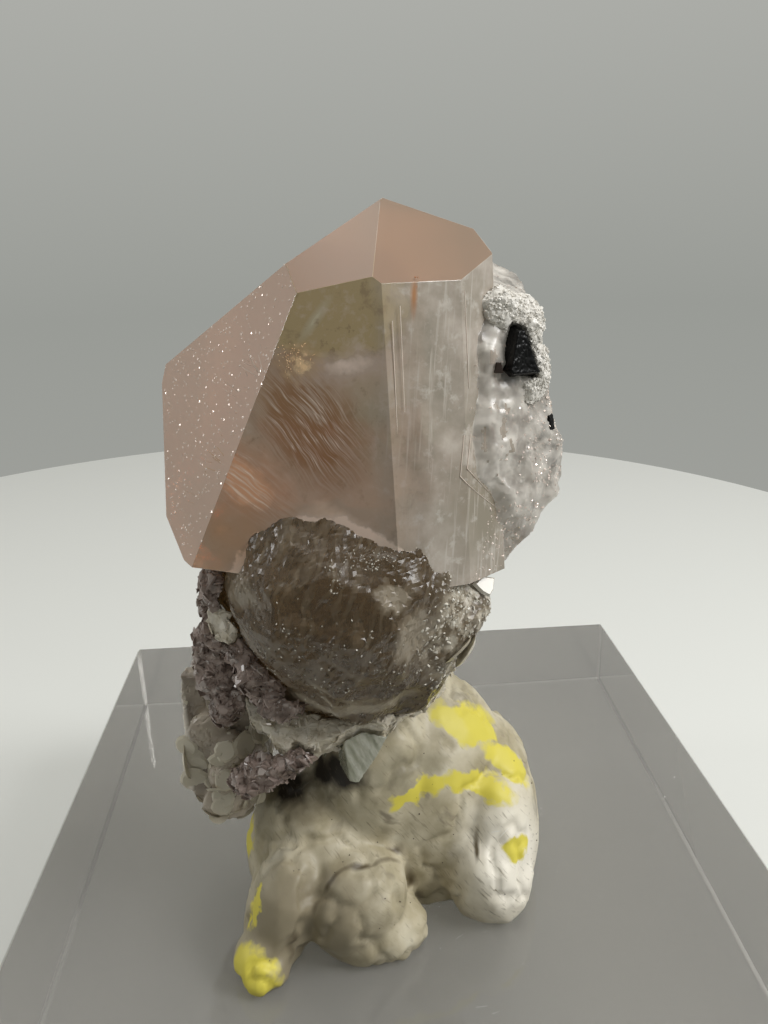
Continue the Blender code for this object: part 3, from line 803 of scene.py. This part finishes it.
fine = cloud(tree, bent, 1.3, 8.0, 0.65)
pale_mottle = remap(tree, fine, 0.54, 0.66, to_high=0.5)
fluff = remap(tree, fine, 0.36, 0.56, to_low=0.3)
dark_mottle = remap(tree, fine, 0.46, 0.34, to_high=0.6)
feather_zone = patch_mask(tree, ragged, (-11.5, -24.0, 71.0), (5.4, 6.0, 3.6), (0, 40, 0), 0.3)
feathers = streaks(tree, bent, 0.2, 16.0, (0, 55, 0), 0.45, 0.66)
side_lines = streaks(tree, place, 0.3, 40.0, (0, -6, 0), 0.56, 0.72)
pocket_rim = wobbled(tree, place, 0.6, 1.8)
haze = 0.5
shade = "#dcc6ae"

# Each stain is laid over those before it: where it lies, its pattern, how thick it is, its colour
for mask, pattern, share, overlay_colour in (
    (patch_mask(tree, ragged, (-4.4, -24.4, 84.4), (6.2, 6.0, 4.4), core=0.88), 1.0, 0.56, "#cdb98c"),
    (patch_mask(tree, ragged, (-2.4, -25.2, 81.8), (4.2, 4.0, 1.5), core=0.4), dark_mottle, 0.6, "#6e5236"),
    (patch_mask(tree, place, (-5.6, -24.2, 83.2), (0.5, 3.0, 2.4), (0, 38, 0), 0.2), 1.0, 0.62, "#dcd2b4"),
    (patch_mask(tree, softly, (-1.6, -24.0, 76.0), (3.4, 6.0, 4.4), core=0.2), 1.0, 0.62, "#c8bda2"),
    (dark_mottle, 1.0, 0.5, "#a08a6c"),
    (pale_mottle, 1.0, 0.75, "#ecdac8"),
    (patch_mask(tree, softly, (-4.5, -25.0, 68.5), (7.0, 6.0, 3.6), core=0.2), 1.0, 0.8, "#ecccb4"),
    (patch_mask(tree, ragged, (-5.2, -24.5, 60.5), (9.6, 9.0, 8.9), core=0.93), 1.0, 0.85, "#efd6c4"),
    (milky, 1.0, 0.7, milk_shade),
    (patch_mask(tree, softly, (7.0, -23.0, 68.0), (6.0, 8.0, 6.0), core=0.3), 1.0, 0.66, "#a79e8c"),
    (milky, pale_mottle, 0.85, "#f2ece2"),
    (milky, side_lines, 0.75, "#dcd4c8"),
    (feather_zone, 1.0, 0.72, "#eeb690"),
    (feather_zone, feathers, 0.85, "#f8dcc6"),
    (fibre_zone, 1.0, 0.5, "#b48a64"),
    (fibre_zone, fibres, 0.7, "#e6d2c0"),
    (patch_mask(tree, ragged, (-3.3, -24.5, 79.9), (4.6, 4.0, 1.5), (0, -8, 0), 0.2), 1.0, 0.8, "#ecd8ca"),
    (patch_mask(tree, pocket_rim, (-6.9, -24.8, 80.0), (2.0, 3.0, 1.7), core=0.3), fluff, 0.92, "#f2d2a6"),
    (patch_mask(tree, place, (1.6, -24.1, 84.6), (0.35, 3.0, 1.9), (0, 4, 0), 0.2), 1.0, 0.6, "#c8946a"),
    (patch_mask(tree, softly, (-13.0, -23.5, 67.0), (4.0, 5.0, 4.0), core=0.2), 1.0, 0.6, "#e8b890"),
):
    part = calc(tree, "MULTIPLY", mask, pattern)
    level = calc(tree, "MULTIPLY", part, share)
    haze = calc(tree, "MAXIMUM", level, haze)
    shade = mixed(tree, part, shade, overlay_colour)
drive(tree, shader, Transmission_Weight=calc(tree, "SUBTRACT", 1.0, haze), Base_Color=shade)

# Frosted face: etched matt, so that it glows pink and hides what is inside
frosted_beryl, _, _ = beryl("frosted_beryl_face", 0.42, 0.38, "#e4c4ae")

# Satin face: shows the inside as soft shadows
satin_beryl, _, _ = beryl("satin_beryl_face", 0.24, 0.62, "#d0b296")

# The two crystals have grown together, so the morganite is cut out for the quartz, a hair inside
# its skin, and the faces between them only carry the body colours
inner_quartz = joined("quartz_face_in_beryl", QUARTZ_SHADE, QUARTZ_DENSITY)
inner_beryl = joined("beryl_face_on_quartz", BERYL_SHADE, BERYL_DENSITY)


def skin_of(obj):
    """The object's faces, ready for finding the nearest one to a point."""
    return BVHTree.FromPolygons(
        [vert.co for vert in obj.data.vertices], [face.vertices for face in obj.data.polygons]
    )


whole = skin_of(morganite)
quartz.data.materials.append(inner_quartz)
for face in quartz.data.polygons:
    touch, normal, _, _ = whole.find_nearest(face.center)
    if (face.center - touch).dot(normal) < 0:
        face.material_index = 1
core = bpy.data.objects.new("core", quartz.data.copy())
bpy.context.scene.collection.objects.link(core)
shrink = core.modifiers.new("shrink", "DISPLACE")
shrink.strength = -JOIN_GAP * MM
shrink.mid_level = 0.0
combine(morganite, keep_result(core), "DIFFERENCE")

morganite.data.materials.clear()
looks = (glossy_beryl, frosted_beryl, satin_beryl, etched_beryl, inner_beryl)
for look in looks:
    morganite.data.materials.append(look)
quartz_skin = skin_of(quartz)
frosted = facing(*CRYSTAL_FACES["etched left"][:2])
satin = [facing(*CRYSTAL_FACES[name][:2]) for name in ("top left", "top right", "upper left", "upper right")]
planes = [(facing(azimuth, elevation), distance) for azimuth, elevation, distance in CRYSTAL_FACES.values()]
for face in morganite.data.polygons:
    spot = face.center / MM - Vector(CRYSTAL_MIDDLE)
    flat = any(
        face.normal.dot(normal) > 0.9 and abs(spot.dot(normal) - distance) < FLATNESS
        for normal, distance in planes
    )
    if not flat and quartz_skin.find_nearest(face.center)[3] < 2 * JOIN_GAP * MM:
        look = inner_beryl
    elif not flat:
        look = etched_beryl
    elif face.normal.dot(frosted) > 0.99:
        look = frosted_beryl
    elif any(face.normal.dot(normal) > 0.99 for normal in satin):
        look = satin_beryl
    else:
        look = glossy_beryl
    face.material_index = looks.index(look)
finish(morganite, "morganite_crystal")

# Inclusions and sparkles: dull pale threads and clouds of flakes, gold fuzz, rust, near-black specks,
# and glitter on the etched faces
pale_inclusion = plain("pale_inclusion", "#e6d8ca", 0.4)
gold_inclusion = plain("gold_inclusion", "#dcb98f", 0.5)
rust_inclusion = plain("rust_inclusion", "#b47a54", 0.6)
dark_inclusion = plain("dark_inclusion", "#2a1d14", 0.4)
sparkle = plain("etched_sparkle", "#f6e6da", 0.22, Metallic=0.25)

for name, kind, look, count, middle, radii, turn, spread, smallest, largest in (
    ("threads_long", fibre_chip, pale_inclusion, 110, (-5.4, -22.0, 75.0), (4.6, 1.8, 6.0), (0, -32, 0), 0.25,
     (0.02, 0.02, 1.0), (0.06, 0.06, 4.5)),
    ("threads_short", fibre_chip, pale_inclusion, 260, (-7.2, -22.2, 77.0), (3.6, 1.6, 5.0), (0, -44, 0), 0.5,
     (0.02, 0.02, 0.3), (0.05, 0.05, 1.8)),
    ("cloud_band", flake_chip, pale_inclusion, 700, (-3.4, -22.8, 79.8), (4.6, 1.0, 1.5), (0, -8, 0), 1.2,
     (0.06, 0.06, 0.1), (0.3, 0.26, 0.3)),
    ("gold_fuzz", flake_chip, gold_inclusion, 600, (-6.9, -24.0, 80.1), (1.7, 0.8, 1.6), (0, 0, 0), 1.6,
     (0.06, 0.06, 0.1), (0.28, 0.24, 0.3)),
    ("feathers", fibre_chip, gold_inclusion, 260, (-11.0, -21.6, 71.2), (5.2, 1.6, 3.4), (0, -58, 0), 0.35,
     (0.02, 0.02, 0.5), (0.06, 0.06, 2.2)),
    ("feather_flakes", flake_chip, pale_inclusion, 420, (-11.0, -22.4, 70.2), (4.8, 1.4, 3.2),
     (0, -40, 0), 1.4, (0.06, 0.06, 0.1), (0.22, 0.2, 0.3)),
    ("rust_stripe", flake_chip, rust_inclusion, 60, (1.6, -24.0, 84.5), (0.3, 0.3, 1.8), (0, 4, 0), 1.4,
     (0.06, 0.06, 0.1), (0.2, 0.16, 0.2)),
    ("dark_needle", fibre_chip, dark_inclusion, 1, (-1.9, -23.2, 80.1), (0.0, 0.0, 0.0), (0, 55, 0), 0.0,
     (0.07, 0.07, 4.2), (0.08, 0.08, 4.4)),
    ("dark_specks", grain_chip, dark_inclusion, 24, (0.4, -24.4, 67.0), (6.0, 1.2, 6.0), (0, 0, 0), 1.5,
     (0.06, 0.06, 0.06), (0.2, 0.2, 0.2)),
    ("dark_bead", grain_chip, dark_inclusion, 1, (8.3, -22.1, 78.8), (0.0, 0.0, 0.0), (0, 0, 0), 0.0,
     (0.8, 0.8, 0.9), (0.9, 0.9, 1.0)),
    ("window_flakes", flake_chip, pale_inclusion, 160, (-2.6, -21.5, 82.2), (3.4, 1.4, 2.0), (0, 0, 0), 1.4,
     (0.06, 0.06, 0.1), (0.22, 0.2, 0.3)),
    ("milk_flakes", flake_chip, pale_inclusion, 1500, (4.4, -20.8, 73.0), (5.0, 3.0, 9.0), (0, -10, 0), 1.2,
     (0.05, 0.05, 0.1), (0.24, 0.2, 0.2)),
):
    scatter_in(
        name, kind, look, count, middle, radii, turn, spread, smallest, largest, seed=count,
    )

# The sparkles of the frosted face are strewn on a copy that has only that face
left_face = bpy.data.objects.new("left_face", morganite.data.copy())
bpy.context.scene.collection.objects.link(left_face)
face_bm = bmesh.new()
face_bm.from_mesh(left_face.data)
others = [face for face in face_bm.faces if face.material_index != looks.index(frosted_beryl)]
bmesh.ops.delete(face_bm, geom=others, context="FACES")
face_bm.to_mesh(left_face.data)
face_bm.free()
scatter_on(
    left_face, "left_face_sparkles", flake_chip, sparkle, density=2.2, middle=(0, 0, 75),
    radii=(60, 60, 60), sizes=(0.05, 0.26), tilt=0.3, seed=3,
)
bpy.data.objects.remove(left_face)
for step, (middle, radii, density) in enumerate((
    ((13.0, -19.0, 73.0), (2.2, 7.0, 5.0), 5.0),
    ((9.8, -21.0, 65.0), (3.0, 5.0, 3.4), 5.0),
    ((13.5, -14, 74), (7.5, 14, 13), 0.8),
)):
    scatter_on(
        morganite, f"etched_glitter_{step}", flake_chip, sparkle, density, middle, radii,
        sizes=(0.05, 0.3), tilt=0.8, seed=8 + step,
    )


def lines(name, look, width, paths):
    """Thin straight lines from point to point along each path, as one object."""
    bm = bmesh.new()
    for path in paths:
        for start, end in zip(path, path[1:]):
            along = Vector(end) - Vector(start)
            turn = along.to_track_quat("Z", "Y").to_matrix().to_4x4()
            bmesh.ops.create_cone(
                bm, cap_ends=True, segments=4, radius1=width / 2, radius2=width / 3, depth=along.length,
                matrix=Matrix.Translation((Vector(start) + Vector(end)) / 2) @ turn,
            )
    made = new_object(name, bm)
    made.data.materials.append(look)
    return finish(made)


lines("growth_lines", pale_inclusion, width=0.07, paths=(
    ((5.3, -24.25, 74.1), (4.9, -24.95, 71.0), (5.5, -24.78, 70.3), (6.4, -24.0, 69.3), (8.2, -22.5, 67.5)),
    ((5.9, -23.75, 74.0), (5.5, -24.6, 71.5), (7.1, -23.28, 69.5), (8.3, -22.3, 68.1)),
    ((5.6, -22.3, 84.7), (5.8, -23.3, 77.5)),
    ((-0.1, -25.5, 83.0), (0.0, -26.6, 74.5)),
    ((0.5, -25.2, 84.0), (0.6, -26.2, 76.5)),
))

# The albite patch and the black crystals
# Sugary white albite grew in a hollow of the etched side, round a stout black tourmaline prism.
# Two more black grains sit lower on the same side.
MINERAL_VOXEL = 0.15
BLACK_VOXEL = 0.09

# White grains with small glassy glints
white_albite = plain("sugary_albite", "#dcd8d0", 0.32)
patch = roughened(
    copy_of("albite_patch", "albite_patch_body"), white_albite, MINERAL_VOXEL, smoothing=1, lump=(0.5, 1.2),
    crease=(0.1, 0.8), grain=(0.16, 0.3), seed=2.0, facet=(0.4, 1.1), smooth=False,
)
finish(patch, "albite_patch")
scatter_on(
    patch, "albite_patch_grains", grain_chip, white_albite, density=9.0, middle=(10, -19, 80),
    radii=(9, 9, 9), sizes=(0.12, 0.42), tilt=1.2, seed=4,
)

# Opaque black with a dull resinous sheen
tourmaline = plain("black_tourmaline", "#050505", 0.3, Specular_IOR_Level=0.2)
for name in ("large", "small", "lower"):
    prism = roughened(
        copy_of("black_crystal_" + name, "black_tourmaline_" + name), tourmaline, BLACK_VOXEL, smoothing=2,
        lump=(0.3, 1.3), crease=(0.05, 0.7), grain=(0.04, 0.2), seed=3.0,
    )
    finish(prism, "black_crystal_" + name)

# The lepidolite
# Lilac mica grew in scaly lumps up the left side of the quartz and in a row of small knobs under
# the ledge. Each lump is a rosette of tiny bent plates with a pearly lustre.
LEPIDOLITE_MIDDLE = (-13, -20, 50)
LEPIDOLITE_REACH = (30, 30, 30)

# Greyed lilac plates, mottled, with a soft pearly sheen; the scales on them are paler and clearer
lilac, tree, shader = new_material("pearly_lepidolite", Roughness=0.3)
place = add(tree, "ShaderNodeTexCoord").outputs["Object"]
mottle = cloud(tree, place, 1.4, 5.0)
shade = add(tree, "ShaderNodeValToRGB", {"Fac": mottle}, stops=(
    (0.3, "#5a4b42"), (0.5, "#8f7e75"), (0.68, "#a8978f"), (0.85, "#d8cec8"),
))
drive(tree, shader, Base_Color=shade)
pale_lilac = plain("pale_lepidolite_scales", "#cbbfb8", 0.22, Transmission_Weight=0.35)
for node, name, body_seed in (
    ("lepidolite_cluster", "lepidolite_lumps", 4.0), ("lepidolite_nodules", "lepidolite_knobs", 6.0),
):
    body = roughened(
        copy_of(node, name), lilac, MINERAL_VOXEL, smoothing=1, lump=(0.9, 1.8), crease=(0.2, 1.2),
        grain=(0.2, 0.3), seed=body_seed, facet=(0.9, 1.5), smooth=False,
    )
    finish(body, node)
    for ending, look, density, sizes, tilt, seed in (
        ("_scales", lilac, 1.6, (0.3, 1.2), 0.6, 3), ("_pale_scales", pale_lilac, 1.2, (0.1, 0.8), 0.8, 11),
    ):
        scatter_on(
            body, name + ending, flake_chip, look, density, LEPIDOLITE_MIDDLE, LEPIDOLITE_REACH,
            sizes, tilt, seed,
        )

# The mica book
# A thick stack of grey-brown mica plates, split along its edges, with paler rounded flakes grown
# on its front. Its plates end at slightly different places, which shows as fine lines.
MICA_VOXEL = 0.16

# Grey-brown plates with a satin sheen, mottled, and paler along the left rim
mica, tree, shader = new_material("layered_mica", Roughness=0.28)
place = add(tree, "ShaderNodeTexCoord").outputs["Object"]
mottle = cloud(tree, place, 4.0, 6.0)
shade = add(tree, "ShaderNodeValToRGB", {"Fac": mottle}, stops=(
    (0.3, "#81766a"), (0.5, "#a99d8d"), (0.7, "#c6bbaa"), (0.85, "#e0d9cc"),
))
rim = patch_mask(tree, place, (-19.9, -18.0, 43.5), (0.6, 4.0, 8.0), core=0.4)
drive(tree, shader, Base_Color=mixed(tree, rim, shade.outputs["Color"], "#f0e8dc"))
book = roughened(
    copy_of("mica_book", "mica_book_plates"), mica, MICA_VOXEL, smoothing=1, lump=(0.2, 2.6),
    crease=(0.1, 1.8), grain=(0.03, 0.3), seed=8.0, smooth=False,
)
finish(book, "mica_book")

# Thin pale mica that lets some light through; two of its discs sit low on the quartz's right
pale_mica = plain("pale_mica_flakes", "#ded6c2", 0.3, Transmission_Weight=0.3)
round_chip = chip("round_chip", sides=11, thick=0.07, jag=0.08)
scatter_on(
    book, "mica_book_flakes", round_chip, pale_mica, density=0.3, middle=(-16, -19, 39.5),
    radii=(6, 8, 6), sizes=(1.0, 3.2), tilt=0.12, seed=5,
)
scatter_in(
    "mica_discs", round_chip, pale_mica, count=2, middle=(5.3, -25.4, 56.0), radii=(0.4, 0.3, 1.0),
    turn=(14, 129, 0), spread=0.1, smallest=(2.6, 2.6, 3.0), largest=(3.6, 3.4, 3.6), seed=2,
)
scatter_on(
    book, "mica_book_scales", flake_chip, pale_mica, density=0.5, middle=(-16, -19, 41),
    radii=(8, 8, 12), sizes=(0.1, 0.5), tilt=0.6, seed=6,
)

# The albite shelf, the albite flake and the feldspar blades
# A ledge of broken pale plates under the quartz, one loose pale flake among the lepidolite, and
# two waxy grey-green blades that run down into the putty.
BLADES_VOXEL = 0.12

# Cream-white broken plates, mottled and a little see-through, with a soft glassy sheen
pale_albite, tree, shader = new_material("broken_albite", Roughness=0.3, Transmission_Weight=0.25, IOR=1.53)
place = add(tree, "ShaderNodeTexCoord").outputs["Object"]
mottle = cloud(tree, place, 1.1, 6.0)
shade = add(tree, "ShaderNodeValToRGB", {"Fac": mottle}, stops=(
    (0.3, "#c8bca4"), (0.5, "#e2d9c6"), (0.7, "#f0e9dc"), (0.85, "#faf7f2"),
))
drive(tree, shader, Base_Color=shade)
for node, name, voxel, body_seed in (
    ("albite_shelf", "albite_shelf_plates", 0.14, 9.0), ("albite_flake", "albite_flake_plate", 0.1, 10.0),
):
    body = roughened(
        copy_of(node, name), pale_albite, voxel, smoothing=1, lump=(0.4, 1.6), crease=(0.12, 1.2),
        grain=(0.12, 0.3), seed=body_seed, facet=(0.3, 1.2), smooth=False,
    )
    finish(body, node)
    scatter_on(
        body, name + "_chips", flake_chip, pale_albite, density=1.6, middle=(-6, -23, 50),
        radii=(20, 9, 12), sizes=(0.2, 1.1), tilt=0.5, seed=7,
    )

# Waxy and half clear, with paler streaks along the blades' cleavage
green, tree, shader = new_material("waxy_feldspar", Roughness=0.22, Transmission_Weight=0.45)
place = add(tree, "ShaderNodeTexCoord").outputs["Object"]
grain = streaks(tree, place, 0.5, 6.0, (0, 25, 0), 0.4, 0.65)
drive(tree, shader, Base_Color=mixed(tree, grain, "#a2a38e", "#d8d8c8"))
blades = roughened(
    copy_of("feldspar_blades", "feldspar_blade_pair"), green, BLADES_VOXEL, smoothing=1, lump=(0.15, 1.2),
    crease=(0.05, 1.0), grain=(0.06, 0.2), seed=11.0,
)
finish(blades, "feldspar_blades")

for spare in (flake_chip, grain_chip, fibre_chip, round_chip):
    bpy.data.objects.remove(spare)
